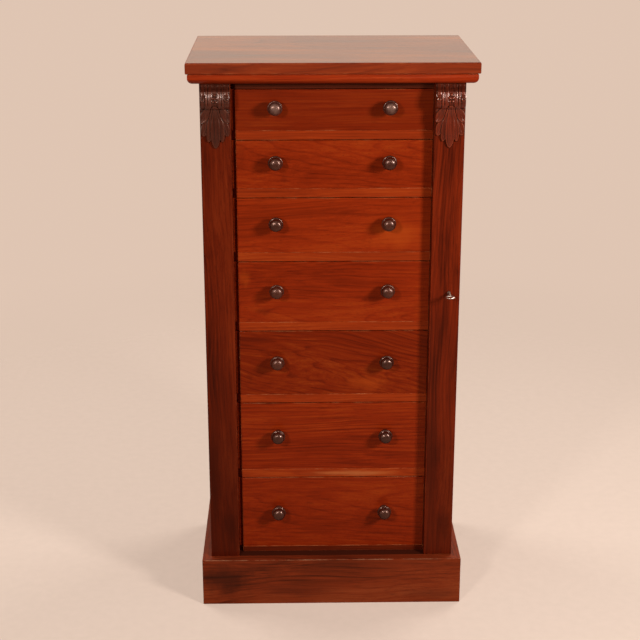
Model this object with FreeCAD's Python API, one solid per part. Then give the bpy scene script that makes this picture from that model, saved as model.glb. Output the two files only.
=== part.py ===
import FreeCAD, Part

# Wellington chest: seven graduated drawers between a fixed pilaster and a hinged locking stile.
# Millimetres. X runs to the right, Y to the back, Z up. The origin lies on the floor,
# in the middle of the width and of the whole depth, key included.

import math
import os

from FreeCAD import Vector

# Top board
top_width = 548.0
top_depth = 382.0
top_thickness = 21.0
top_overhang = 24.0
top_arris = 1.5

# Moulding under the top board, mitred round the front and the two sides
moulding_height = 19.0
moulding_inset = 3.5
moulding_round = 11.0
quirk_height = 2.0
quirk_depth = 2.0

# Case
side_thickness = 18.0
back_thickness = 10.0
back_rebate = 9.0
back_plank_count = 3
back_plank_gap = 0.5
post_thickness = 20.0
top_rail_lip = 15.0
top_rail_thickness = 20.0

# Pilaster and locking stile
pilaster_width = 58.0
pilaster_thickness = 22.0
stile_gap = 0.5
stile_end_gap = 1.0

# Drawer openings, the top one first, and the rails and runners between them
opening_heights = (79.5, 95.0, 110.0, 126.0, 136.0, 147.5, 158.0)
rail_thickness = 18.0
bottom_rail_thickness = 12.0
rail_depth = 45.0
runner_width = 62.0
dust_thickness = 7.0
dust_tongue = 5.0
dust_clearance = 0.2
guide_height = 28.0
stop_length = 40.0
stop_depth = 15.0
stop_height = 5.0
stop_from_edge = 22.0

# Plinth
plinth_height = 102.0
plinth_overhang = 18.5
plinth_thickness = 20.0
bottom_thickness = 18.0
glue_block = 28.0
glue_block_chamfer = 14.0

# Drawers
drawer_back_gap = 16.0
drawer_side_gap = 0.5
drawer_top_gap = 1.5
front_thickness = 18.0
front_lap = 9.0
drawer_side_thickness = 9.0
drawer_side_drop = 2.0
drawer_back_thickness = 9.0
drawer_back_drop = 6.0
drawer_bottom_thickness = 6.0
drawer_bottom_lift = 8.0
drawer_groove = 4.0
groove_clearance = 0.1
tail_pitch = 36.0
tail_root_share = 0.60
tail_slope_share = 0.16

# Channel down the left ends of the drawer fronts and rails, beside the pilaster
channel_width = 7.0
channel_depth = 5.0

# Knobs: a foot, a neck, a bead and a dome, with this many flats round each of the fourteen
knob_sides = 20
knob_from_edge = 82.5
knob_rise = 6.5
knob_projection = 34.0
knob_bead_radius = 14.5
knob_dome_radius = 12.0
knob_foot_radius = 8.5
knob_neck_radius = 6.6
knob_foot_share = 0.08
knob_neck_share = 0.26
knob_shoulder_share = 0.42
knob_bead_share = 0.52
knob_groove_share = 0.63
dome_turn_shares = (0.67, 0.33, 0.0)

# Corbels
corbel_height = 125.0
corbel_inset = 1.5
corbel_projection = 19.0

# Pivot hinges of the stile
pivot_inset = 7.0
pivot_swing_gap = 0.3
pivot_plate_length = 34.5
pivot_plate_width = 10.0
pivot_plate_thickness = 2.5
pivot_plate_margin = 4.5
pivot_pin_radius = 2.5
pivot_pin_short = 0.3
pivot_collar_radius = 4.2
pivot_clearance = 0.05

# Lock in the back of the stile
lock_height = 676.0
key_from_edge = 36.5
lock_plate = 1.5
lock_depth = 13.0
lock_above = 18.0
lock_below = 26.0
lock_beyond_key = 6.5
lock_beside_staple = 1.0
bolt_width = 5.0
bolt_depth = 4.0
bolt_gap = 0.3
bolt_above = 14.0
bolt_below = 14.0
talon_half = 2.6
talon_lobe = 4.0
talon_clearance = 2.5
bolt_clearance = 0.5

# Striker plate with its staple, let into the right-hand post
staple_from_key = 17.0
staple_wire = 2.0
staple_bar = 2.5
staple_height = 4.0
staple_drop = 1.5
striker_width = 14.0
striker_length = 30.0
striker_thickness = 2.0

# Key
key_reach = 40.0
shank_radius = 2.5
bit_radius = 7.5
bit_thickness = 2.5
bit_length = 4.5
bow_radius = 9.5
bow_hole_radius = 5.8
bow_thickness = 3.0
key_clearance = 0.1
keyhole_clearance = 0.7

# How far a cutting shape runs past the face that it cuts
overrun = 5.0

# Planes that the sizes above give
back_y = (top_depth + max(key_reach - top_overhang, 0)) / 2
top_front_y = back_y - top_depth
face_y = top_front_y + top_overhang
case_y = face_y + pilaster_thickness
plinth_front_y = face_y - plinth_overhang
plinth_inner_y = plinth_front_y + plinth_thickness
back_board_y = back_y - back_thickness

top_half = top_width / 2
case_half = top_half - top_overhang
opening_half = case_half - pilaster_width
inner_half = case_half - side_thickness
plinth_half = case_half + plinth_overhang
plinth_inner_half = plinth_half - plinth_thickness
runner_half = inner_half - runner_width

rail_count = len(opening_heights) - 1
drawer_zone = sum(opening_heights) + rail_count * rail_thickness
moulding_z = plinth_height + bottom_rail_thickness + drawer_zone + top_rail_lip
case_top_z = moulding_z + moulding_height
top_rail_z = moulding_z - top_rail_lip

stile_inner_x = opening_half + stile_gap
stile_back_y = case_y - stile_gap
stile_low_z = plinth_height + stile_end_gap
stile_high_z = moulding_z - stile_end_gap
pivot_x = case_half - pivot_inset
pivot_y = face_y + pivot_inset

key_x = stile_inner_x - stile_gap + key_from_edge
lock_front_y = stile_back_y - lock_depth
staple_x = key_x - staple_from_key
staple_half = bolt_width / 2 + bolt_clearance + staple_wire
staple_reach = stile_gap + lock_plate + bolt_gap + bolt_depth + bolt_clearance + staple_bar
bolt_back_y = stile_back_y - lock_plate - bolt_gap
bolt_low_z = lock_height - bolt_below
staple_high_z = bolt_low_z - staple_drop


def block(x_low, x_high, y_low, y_high, z_low, z_high):
    """A box between two corners."""
    size = (x_high - x_low, y_high - y_low, z_high - z_low)
    return Part.makeBox(*size, Vector(x_low, y_low, z_low))


def pair(x_low, x_high, y_low, y_high, z_low, z_high):
    """The same box on the right and on the left."""
    right = block(x_low, x_high, y_low, y_high, z_low, z_high)
    left = block(-x_high, -x_low, y_low, y_high, z_low, z_high)
    return [right, left]


def solid_from(points, direction):
    """A flat outline through the points, pushed along the direction."""
    wire = Part.makePolygon(points + [points[0]])
    return Part.Face(wire).extrude(direction)


def upright_prism(outline, z_low, z_high):
    """A plan outline of x and y, raised from z_low to z_high."""
    points = [Vector(x, y, z_low) for x, y in outline]
    return solid_from(points, Vector(0, 0, z_high - z_low))


def clean(shape):
    """One solid with its split faces joined."""
    return shape.removeSplitter().Solids[0]


def opening_floors():
    """The height of each opening's floor, the top opening first."""
    floors = []
    z = top_rail_z
    for height in opening_heights:
        z = z - height
        floors.append(z)
        z = z - rail_thickness
    return floors


def arc(start, middle, end):
    """An arc edge through three points."""
    return Part.Arc(start, middle, end).toShape()


def make_top_board():
    """The square-edged top with its arrises taken off."""
    board = block(-top_half, top_half, top_front_y, back_y, case_top_z, case_top_z + top_thickness)
    edges = []
    for edge in board.Edges:
        low, high = edge.Vertexes[0].Point, edge.Vertexes[-1].Point
        level = abs(low.z - high.z) < top_arris
        at_back = min(low.y, high.y) > back_y - top_arris
        if level and not at_back:
            edges.append(edge)
    return [board.makeChamfer(top_arris, edges)]


def moulding_section(run):
    """The moulding's section, run is how deep it is from its front to the case."""
    z_low, z_high = moulding_z, case_top_z
    bend = moulding_round * (1 - math.sqrt(0.5))
    corners = [
        Vector(0, run, z_low),
        Vector(0, run, z_high),
        Vector(0, quirk_depth, z_high),
        Vector(0, quirk_depth, z_high - quirk_height),
        Vector(0, 0, z_high - quirk_height),
        Vector(0, 0, z_low + moulding_round),
    ]
    edges = [Part.makeLine(a, b) for a, b in zip(corners, corners[1:])]
    foot = Vector(0, moulding_round, z_low)
    edges.append(arc(corners[-1], Vector(0, bend, z_low + bend), foot))
    edges.append(Part.makeLine(foot, corners[0]))
    return Part.Face(Part.Wire(edges))


def make_top_moulding():
    """Front strip and two side strips with mitred corners."""
    outer_half = top_half - moulding_inset
    outer_y = top_front_y + moulding_inset
    side_run = outer_half - case_half
    front = moulding_section(case_y - outer_y)
    front.translate(Vector(-outer_half, outer_y, 0))
    front = front.extrude(Vector(outer_half * 2, 0, 0))
    mitre_y = outer_y + side_run
    plan = [(outer_half, outer_y), (case_half, mitre_y), (case_half, case_y),
            (-case_half, case_y), (-case_half, mitre_y), (-outer_half, outer_y)]
    strips = [front.common(upright_prism(plan, moulding_z, case_top_z))]
    side = moulding_section(side_run)
    side.rotate(Vector(0, 0, 0), Vector(0, 0, 1), 90)
    side.translate(Vector(outer_half, outer_y, 0))
    side = side.extrude(Vector(0, back_y - outer_y, 0))
    plan = [(outer_half, outer_y), (outer_half, back_y), (case_half, back_y), (case_half, mitre_y)]
    right = side.common(upright_prism(plan, moulding_z, case_top_z))
    strips.append(right)
    strips.append(right.mirror(Vector(0, 0, 0), Vector(1, 0, 0)))
    strips[0] = strips[0].cut(pivot_socket(moulding_z, 1))
    return strips


def make_side(sign):
    """One side of the case, rebated at the back for the planks."""
    low, high = sorted((sign * inner_half, sign * case_half))
    side = block(low, high, case_y, back_y, plinth_height, case_top_z)
    low, high = sorted((sign * (inner_half - overrun), sign * (inner_half + back_rebate)))
    return side.cut(block(low, high, back_board_y, back_y + overrun, plinth_height, case_top_z))


def make_front_posts():
    """The two posts behind the pilaster and the stile, the right one recessed for the striker."""
    posts = pair(opening_half, inner_half, case_y, case_y + post_thickness, plinth_height, case_top_z)
    posts[0] = posts[0].cut(striker_plate_block(overrun))
    return posts


def make_pilaster():
    """The fixed pilaster on the left."""
    return [block(-case_half, -opening_half, face_y, case_y, plinth_height, moulding_z)]


def channel():
    """The space of the narrow channel that runs down beside the pilaster."""
    high_x = -opening_half + drawer_side_gap + channel_width
    return block(-opening_half, high_x, case_y, case_y + channel_depth, plinth_height, moulding_z)


def make_top_rails():
    """The front rail over the drawers and the back rail, both under the top board."""
    front = block(-opening_half, opening_half, case_y, case_y + top_rail_thickness, top_rail_z, case_top_z)
    front = front.cut(channel())
    back = block(-inner_half, inner_half, back_board_y - top_rail_thickness, back_board_y,
                 top_rail_z, case_top_z)
    return [front, back]


def make_bottom_board():
    """The bottom of the case, let into the plinth level with its top."""
    low_z = plinth_height - bottom_thickness
    board = block(-plinth_inner_half, plinth_inner_half, plinth_inner_y, back_y, low_z, plinth_height)
    return [board.cut(pivot_socket(plinth_height, -1))]


def rail_at(z_low, thickness, grooved):
    """One rail: between the posts at the front, and behind them out to the case sides."""
    rear_y = case_y + rail_depth
    rail = block(-opening_half, opening_half, case_y, rear_y, z_low, z_low + thickness)
    behind = block(-inner_half, inner_half, case_y + post_thickness, rear_y, z_low, z_low + thickness)
    rail = clean(rail.fuse(behind)).cut(channel())
    if grooved:
        rail = rail.cut(dust_groove(z_low))
    return rail


def dust_groove(rail_z):
    """The space that takes a dust board's edges, in a rail and its two runners."""
    half = runner_half + dust_tongue + dust_clearance
    low_y = case_y + rail_depth - dust_tongue - dust_clearance
    low_z = rail_z + (rail_thickness - dust_thickness) / 2
    return block(-half, half, low_y, back_board_y, low_z, low_z + dust_thickness + dust_clearance)


def make_drawer_rails():
    """Six rails between the drawers, and the thin one under the lowest drawer."""
    rails = []
    for floor in opening_floors()[:-1]:
        rails.append(rail_at(floor - rail_thickness, rail_thickness, True))
    rails.append(rail_at(plinth_height, bottom_rail_thickness, False))
    return rails


def make_drawer_runners():
    """Runners behind the rails, and two kickers over the top drawer."""
    runners = []
    low_y = case_y + rail_depth
    for floor in opening_floors()[:-1]:
        low_z = floor - rail_thickness
        for runner in pair(runner_half, inner_half, low_y, back_board_y, low_z, floor):
            runners.append(runner.cut(dust_groove(low_z)))
    floor = plinth_height + bottom_rail_thickness
    runners += pair(runner_half, inner_half, low_y, back_board_y, plinth_height, floor)
    kicker_y = back_board_y - top_rail_thickness
    runners += pair(runner_half, opening_half, case_y + top_rail_thickness, kicker_y,
                    top_rail_z, top_rail_z + rail_thickness)
    return runners


def make_drawer_guides():
    """Strips that stand on the runners and rails, and keep each drawer straight."""
    guides = []
    low_y = case_y + post_thickness
    for floor in opening_floors():
        guides += pair(opening_half, inner_half, low_y, back_board_y, floor, floor + guide_height)
    return guides


def make_dust_boards():
    """Thin boards in the grooves between one drawer and the next."""
    boards = []
    half = runner_half + dust_tongue
    low_y = case_y + rail_depth - dust_tongue
    for floor in opening_floors()[:-1]:
        low_z = floor - rail_thickness + (rail_thickness - dust_thickness) / 2
        high_y = back_board_y - dust_clearance
        boards.append(block(-half, half, low_y, high_y, low_z, low_z + dust_thickness))
    return boards


def make_drawer_stops():
    """Two stops on each rail, which the back of a drawer front meets."""
    stops = []
    low_y = case_y + front_thickness
    low_x = opening_half - stop_from_edge - stop_length
    for floor in opening_floors():
        stops += pair(low_x, low_x + stop_length, low_y, low_y + stop_depth, floor, floor + stop_height)
    return stops


def make_back_boards():
    """Upright planks in the rebates of the case sides."""
    half = inner_half + back_rebate
    width = (2 * half - (back_plank_count - 1) * back_plank_gap) / back_plank_count
    planks = []
    for number in range(back_plank_count):
        low_x = -half + number * (width + back_plank_gap)
        planks.append(block(low_x, low_x + width, back_board_y, back_y, plinth_height, case_top_z))
    return planks


def make_plinth_boards():
    """Front and side boards mitred at the corners, and a lower board at the back."""
    outer, inner = plinth_half, plinth_inner_half
    front_plan = [(-outer, plinth_front_y), (outer, plinth_front_y),
                  (inner, plinth_inner_y), (-inner, plinth_inner_y)]
    boards = [upright_prism(front_plan, 0, plinth_height)]
    for sign in (1, -1):
        plan = [(sign * outer, plinth_front_y), (sign * outer, back_y),
                (sign * inner, back_y), (sign * inner, plinth_inner_y)]
        boards.append(upright_prism(plan, 0, plinth_height))
    high_z = plinth_height - bottom_thickness
    boards.append(block(-inner, inner, back_y - plinth_thickness, back_y, 0, high_z))
    return boards


def make_plinth_blocks():
    """Glue blocks in the four inner corners, under the bottom board."""
    blocks = []
    for sign in (1, -1):
        for corner_y, inward in ((plinth_inner_y, 1), (back_y - plinth_thickness, -1)):
            x_far = sign * (plinth_inner_half - glue_block)
            x_cut = sign * (plinth_inner_half - glue_block + glue_block_chamfer)
            y_far = corner_y + inward * glue_block
            y_cut = corner_y + inward * (glue_block - glue_block_chamfer)
            plan = [(sign * plinth_inner_half, corner_y), (x_far, corner_y), (x_far, y_cut),
                    (x_cut, y_far), (sign * plinth_inner_half, y_far)]
            blocks.append(upright_prism(plan, 0, plinth_height - bottom_thickness))
    return blocks


def corbel_profile(depth, height):
    """Side view: a hollow under the moulding, a roll, and a leaf that thins to its tip."""
    arc_shares = (
        ((0.50, 1.00), (0.50, 0.91), (0.72, 0.83)),
        ((0.72, 0.83), (1.00, 0.72), (0.60, 0.61)),
        ((0.60, 0.61), (0.42, 0.54), (0.44, 0.44)),
        ((0.44, 0.44), (0.44, 0.22), (0.14, 0.00)),
    )
    edges = []
    for shares in arc_shares:
        start, middle, end = [Vector(0, -depth * d, height * h) for d, h in shares]
        edges.append(arc(start, middle, end))
    foot, head = Vector(0, 0, 0), Vector(0, 0, height)
    edges.append(Part.makeLine(edges[-1].Vertexes[-1].Point, foot))
    edges.append(Part.makeLine(foot, head))
    edges.append(Part.makeLine(head, Vector(0, -depth * arc_shares[0][0][0], height)))
    return Part.Face(Part.Wire(Part.__sortEdges__(edges)))


def corbel_outline(half, height, depth):
    """Front view: a square head over a leaf with two lobes each side and a middle tip."""
    arc_shares = (
        ((1.00, 0.68), (0.96, 0.63), (0.84, 0.60)),
        ((0.84, 0.60), (1.00, 0.46), (0.84, 0.31)),
        ((0.84, 0.31), (0.80, 0.17), (0.42, 0.10)),
        ((0.42, 0.10), (0.25, 0.02), (0.00, 0.00)),
    )
    edges = []
    for sign in (1, -1):
        for shares in arc_shares:
            start, middle, end = [Vector(sign * half * w, -depth, height * h) for w, h in shares]
            edges.append(arc(start, middle, end))
        shoulder = Vector(sign * half, -depth, height * arc_shares[0][0][1])
        edges.append(Part.makeLine(shoulder, Vector(sign * half, -depth, height)))
    edges.append(Part.makeLine(Vector(half, -depth, height), Vector(-half, -depth, height)))
    return Part.Face(Part.Wire(Part.__sortEdges__(edges)))


def make_corbel(middle_x, high_z):
    """A carved corbel on the front of the pilaster or the stile, under the moulding."""
    half = pilaster_width / 2 - corbel_inset
    low_z = moulding_z - corbel_height
    body = corbel_profile(corbel_projection, corbel_height)
    body.translate(Vector(-half, 0, 0))
    body = body.extrude(Vector(half * 2, 0, 0))
    outline = corbel_outline(half, corbel_height, corbel_projection + overrun)
    corbel = body.common(outline.extrude(Vector(0, corbel_projection + overrun, 0)))
    corbel.translate(Vector(middle_x, face_y, low_z))
    room = block(middle_x - half, middle_x + half, face_y - corbel_projection, face_y, low_z, high_z)
    return [corbel.common(room).Solids[0]]


def pivot_plate(z_low, z_high):
    """A hinge plate's space, round the stile's axis."""
    high_x = pivot_x + pivot_plate_margin
    low_x = high_x - pivot_plate_length
    half = pivot_plate_width / 2
    return block(low_x, high_x, pivot_y - half, pivot_y + half, z_low, z_high)


def pivot_round(radius, z_start, length):
    """A round on the stile's axis, upwards, or downwards if length is negative."""
    foot = Vector(pivot_x, pivot_y, min(z_start, z_start + length))
    return Part.makeCylinder(radius, abs(length), foot)


def pivot_socket(face_z, sign):
    """What is cut from the wood for a fixed hinge plate, up or down from the face."""
    low, high = sorted((face_z - sign * overrun, face_z + sign * pivot_plate_thickness))
    return pivot_plate(low, high)


def make_fixed_pivots():
    """Brass plates with a hole, flush in the moulding and in the bottom of the case."""
    plates = []
    for low_z in (moulding_z, plinth_height - pivot_plate_thickness):
        plate = pivot_plate(low_z, low_z + pivot_plate_thickness)
        hole = pivot_round(pivot_pin_radius + pivot_clearance, low_z, pivot_plate_thickness)
        plates.append(plate.cut(hole))
    return plates


def make_moving_pivots():
    """Brass plates with a pin in the stile's ends; the lower one's collar carries the stile."""
    reach = stile_end_gap + pivot_plate_thickness - pivot_pin_short
    upper = pivot_plate(stile_high_z - pivot_plate_thickness, stile_high_z)
    upper = upper.fuse(pivot_round(pivot_pin_radius, stile_high_z, reach))
    lower = pivot_plate(stile_low_z, stile_low_z + pivot_plate_thickness)
    lower = lower.fuse(pivot_round(pivot_collar_radius, stile_low_z, -stile_end_gap))
    lower = lower.fuse(pivot_round(pivot_pin_radius, stile_low_z, -reach))
    return [clean(upper), clean(lower)]


def stile_section():
    """The stile's plan, with its outer back corner rounded about the hinge axis."""
    swing = case_y - pivot_y - pivot_swing_gap
    back_offset = stile_back_y - pivot_y
    outer_offset = case_half - pivot_x
    back_x = pivot_x + math.sqrt(swing**2 - back_offset**2)
    outer_y = pivot_y + math.sqrt(swing**2 - outer_offset**2)
    turn = (math.atan2(back_offset, back_x - pivot_x) + math.atan2(outer_y - pivot_y, outer_offset)) / 2
    z = stile_low_z
    on_arc = Vector(pivot_x + swing * math.cos(turn), pivot_y + swing * math.sin(turn), z)
    corners = [Vector(back_x, stile_back_y, z), Vector(stile_inner_x, stile_back_y, z),
               Vector(stile_inner_x, face_y, z), Vector(case_half, face_y, z), Vector(case_half, outer_y, z)]
    edges = [Part.makeLine(a, b) for a, b in zip(corners, corners[1:])]
    edges.append(arc(corners[-1], on_arc, corners[0]))
    return Part.Face(Part.Wire(edges))


def keyhole(clearance, y_low, y_high):
    """A round for the shank with a slot below it for the bit."""
    radius = shank_radius + clearance
    length = y_high - y_low
    hole = Part.makeCylinder(radius, length, Vector(key_x, y_low, lock_height), Vector(0, 1, 0))
    half = bit_thickness / 2 + clearance
    low_z = lock_height - bit_radius - clearance
    return hole.fuse(block(key_x - half, key_x + half, y_low, y_high, low_z, lock_height))


def lock_box(shrink):
    """The lock's outer box, or its hollow when shrink is the plate's thickness."""
    low_x = staple_x - staple_half - lock_beside_staple - lock_plate + shrink
    high_x = key_x + lock_beyond_key - shrink
    return block(low_x, high_x, lock_front_y + shrink, stile_back_y - shrink,
                 lock_height - lock_below + shrink, lock_height + lock_above - shrink)


def make_locking_stile():
    """The hinged stile, let out for the lock, its keyhole and the hinge plates."""
    stile = stile_section().extrude(Vector(0, 0, stile_high_z - stile_low_z))
    stile = stile.cut(lock_box(0))
    stile = stile.cut(keyhole(keyhole_clearance, face_y - overrun, lock_front_y + overrun))
    stile = stile.cut(pivot_plate(stile_low_z - overrun, stile_low_z + pivot_plate_thickness))
    stile = stile.cut(pivot_plate(stile_high_z - pivot_plate_thickness, stile_high_z + overrun))
    return [stile.Solids[0]]


def make_lock_case():
    """The lock's case, with its keyhole in front and a slot at the back for the staple."""
    case = lock_box(0).cut(lock_box(lock_plate))
    case = case.cut(keyhole(key_clearance, lock_front_y - overrun, lock_front_y + lock_plate * 2))
    tip_y = case_y - staple_reach - pivot_y
    swing = math.hypot(pivot_x - staple_x - staple_half, tip_y)
    exit_x = pivot_x - math.sqrt(swing**2 - (stile_back_y - pivot_y) ** 2)
    low_z = staple_high_z - staple_height - bolt_clearance
    slot = block(staple_x - staple_half - bolt_clearance, exit_x + bolt_clearance,
                 stile_back_y - lock_plate * 2, stile_back_y + overrun,
                 low_z, staple_high_z + bolt_clearance)
    return [case.cut(slot)]


def make_lock_bolt():
    """The bolt: a bar that drops through the staple, with the talon that the key's bit moves."""
    low_y, high_y = bolt_back_y - bolt_depth, bolt_back_y
    half = bolt_width / 2
    bar = block(staple_x - half, staple_x + half, low_y, high_y, bolt_low_z, lock_height + bolt_above)
    arm_x = key_x - shank_radius - talon_clearance
    arm_half = talon_half + talon_lobe
    arm = block(staple_x, arm_x, low_y, high_y, lock_height - arm_half, lock_height + arm_half)
    root_x = key_x - bit_radius - bolt_clearance
    notch = block(root_x, arm_x + overrun, low_y - overrun, high_y + overrun,
                  lock_height - talon_half, lock_height + talon_half)
    return [clean(bar.fuse(arm).cut(notch))]


def striker_plate_block(front_run):
    """The striker plate's space in the post; front_run carries it past the post's face."""
    half = striker_width / 2
    middle_z = staple_high_z - staple_height / 2
    return block(staple_x - half, staple_x + half, case_y - front_run, case_y + striker_thickness,
                 middle_z - striker_length / 2, middle_z + striker_length / 2)


def make_striker():
    """The striker plate with its staple, which stands into the lock."""
    plate = striker_plate_block(0)
    low_z = staple_high_z - staple_height
    half = staple_half
    staple = block(staple_x - half, staple_x + half, case_y - staple_reach, case_y, low_z, staple_high_z)
    hole_half = half - staple_wire
    hole = block(staple_x - hole_half, staple_x + hole_half, case_y - staple_reach + staple_bar, case_y,
                 low_z - overrun, staple_high_z + overrun)
    return [clean(plate.fuse(staple.cut(hole)))]


def make_key():
    """The key: bow level, bit to the left, with the bolt drawn back."""
    axis = Vector(0, 1, 0)
    bow_y = face_y - key_reach + bow_radius
    tip_y = bolt_back_y
    bow_foot = Vector(key_x, bow_y, lock_height - bow_thickness / 2)
    bow = Part.makeCylinder(bow_radius, bow_thickness, bow_foot)
    bow = bow.cut(Part.makeCylinder(bow_hole_radius, bow_thickness, bow_foot))
    shank_y = bow_y + (bow_radius + bow_hole_radius) / 2
    shank = Part.makeCylinder(shank_radius, tip_y - shank_y, Vector(key_x, shank_y, lock_height), axis)
    half = bit_thickness / 2
    bit = block(key_x - bit_radius, key_x, tip_y - bit_length, tip_y, lock_height - half, lock_height + half)
    return [clean(bow.fuse(shank).fuse(bit))]


def knob_profile():
    """Half of the knob's turned outline: each radius with the way out from the drawer front."""
    out = knob_projection
    profile = [
        (knob_foot_radius, 0),
        (knob_foot_radius, out * knob_foot_share),
        (knob_neck_radius, out * knob_neck_share),
        (knob_dome_radius, out * knob_shoulder_share),
        (knob_bead_radius, out * knob_bead_share),
        (knob_dome_radius, out * knob_groove_share),
    ]
    rise = out * (1 - knob_groove_share)
    sphere = (knob_dome_radius**2 + rise**2) / (2 * rise)
    whole_turn = math.acos((sphere - rise) / sphere)
    for share in dome_turn_shares:
        turn = whole_turn * share
        profile.append((sphere * math.sin(turn), out - sphere * (1 - math.cos(turn))))
    return profile


def knob_ring(radius, way_out):
    """The corners round one turn of a knob, or its crown where the radius is zero."""
    if radius == 0:
        return [Vector(0, -way_out, 0)] * knob_sides
    turns = [2 * math.pi * number / knob_sides for number in range(knob_sides)]
    return [Vector(radius * math.cos(turn), -way_out, radius * math.sin(turn)) for turn in turns]


def make_knob():
    """One knob, with its foot in the middle of the frame."""
    rings = [knob_ring(radius, way_out) for radius, way_out in knob_profile()]
    faces = [Part.Face(Part.makePolygon(rings[0] + rings[0][:1]))]
    for lower, upper in zip(rings, rings[1:]):
        for number in range(knob_sides):
            after = (number + 1) % knob_sides
            corners = [lower[number], lower[after], upper[after]]
            if upper is not rings[-1]:
                corners.append(upper[number])
            faces.append(Part.Face(Part.makePolygon(corners + corners[:1])))
    return Part.Solid(Part.Shell(faces))


def knob_places(floor, height):
    """The middles of a drawer's two knobs on the face of its front."""
    x = opening_half - drawer_side_gap - knob_from_edge
    z = floor + (height - drawer_top_gap) / 2 + knob_rise
    return [Vector(sign * x, case_y, z) for sign in (-1, 1)]


def make_knobs(floor, height):
    """Two knobs, standing on the drawer front."""
    knobs = []
    for place in knob_places(floor, height):
        knob = make_knob()
        knob.translate(place)
        knobs.append(knob)
    return knobs


def dovetails(low_z, high_z, root_y, tip_y):
    """Tails at the end of both drawer sides, wider at the tip than at the root."""
    count = max(2, round((high_z - low_z) / tail_pitch))
    pitch = (high_z - low_z) / count
    root_half = pitch * tail_root_share / 2
    tip_half = root_half + abs(tip_y - root_y) * tail_slope_share
    outer = opening_half - drawer_side_gap
    tails = []
    for number in range(count):
        middle = low_z + pitch * (number + 0.5)
        for low_x in (-outer, outer - drawer_side_thickness):
            corners = [Vector(low_x, root_y, middle - root_half), Vector(low_x, root_y, middle + root_half),
                       Vector(low_x, tip_y, middle + tip_half), Vector(low_x, tip_y, middle - tip_half)]
            tails.append(solid_from(corners, Vector(drawer_side_thickness, 0, 0)))
    return tails


def make_drawer(floor, height):
    """Front, sides, back and bottom of one drawer, dovetailed at its corners."""
    outer = opening_half - drawer_side_gap
    inner = outer - drawer_side_thickness
    front_z = floor + height - drawer_top_gap
    side_z = front_z - drawer_side_drop
    inside_y = case_y + front_thickness
    rear_y = back_board_y - drawer_back_gap
    bottom_z = floor + drawer_bottom_lift
    bottom_top_z = bottom_z + drawer_bottom_thickness
    back_low_z = bottom_top_z + groove_clearance
    back_high_z = side_z - drawer_back_drop

    bottom = block(-inner - drawer_groove, inner + drawer_groove, inside_y - drawer_groove, rear_y,
                   bottom_z, bottom_top_z)
    groove_half = inner + drawer_groove + groove_clearance
    groove = block(-groove_half, groove_half, inside_y - drawer_groove - groove_clearance,
                   rear_y + overrun, bottom_z, back_low_z)

    front = block(-outer, outer, case_y, inside_y, floor, front_z).cut(channel())
    front = front.cut(dovetails(floor, side_z, inside_y, case_y + front_lap))
    back = block(-outer, outer, rear_y - drawer_back_thickness, rear_y, back_low_z, back_high_z)
    back = back.cut(dovetails(back_low_z, back_high_z, rear_y - drawer_back_thickness, rear_y))
    sides = []
    for side in pair(inner, outer, case_y + front_lap, rear_y, floor, side_z):
        sides.append(side.cut([front, back, groove]).Solids[0])
    front = front.cut(groove)
    return {"front": [front.Solids[0]], "sides": sides, "back": [back.Solids[0]], "bottom": [bottom]}


def all_parts():
    """Every node's name with its solids."""
    stile_middle_x = case_half - pilaster_width / 2
    parts = {
        "top_board": make_top_board(),
        "top_moulding": make_top_moulding(),
        "side_left": [make_side(-1)],
        "side_right": [make_side(1)],
        "front_posts": make_front_posts(),
        "pilaster": make_pilaster(),
        "corbel_left": make_corbel(-stile_middle_x, moulding_z),
        "top_rails": make_top_rails(),
        "bottom_board": make_bottom_board(),
        "drawer_rails": make_drawer_rails(),
        "drawer_runners": make_drawer_runners(),
        "drawer_guides": make_drawer_guides(),
        "dust_boards": make_dust_boards(),
        "drawer_stops": make_drawer_stops(),
        "back_boards": make_back_boards(),
        "plinth_boards": make_plinth_boards(),
        "plinth_blocks": make_plinth_blocks(),
        "fixed_pivots": make_fixed_pivots(),
        "striker": make_striker(),
        "locking_stile": make_locking_stile(),
        "corbel_right": make_corbel(stile_middle_x, stile_high_z),
        "moving_pivots": make_moving_pivots(),
        "lock_case": make_lock_case(),
        "lock_bolt": make_lock_bolt(),
        "key": make_key(),
    }
    for number, (floor, height) in enumerate(zip(opening_floors(), opening_heights), 1):
        for piece, solids in make_drawer(floor, height).items():
            parts[f"drawer_{number}_{piece}"] = solids
        parts[f"drawer_{number}_knobs"] = make_knobs(floor, height)
    return parts


os.makedirs("parts", exist_ok=True)
for name, solids in all_parts().items():
    shape = solids[0] if len(solids) == 1 else Part.makeCompound(solids)
    shape.exportStep(f"parts/{name}.step")
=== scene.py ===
from math import atan2, cos, hypot, pi, radians, sqrt

import bmesh
import bpy
from mathutils import Matrix, Vector


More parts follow.
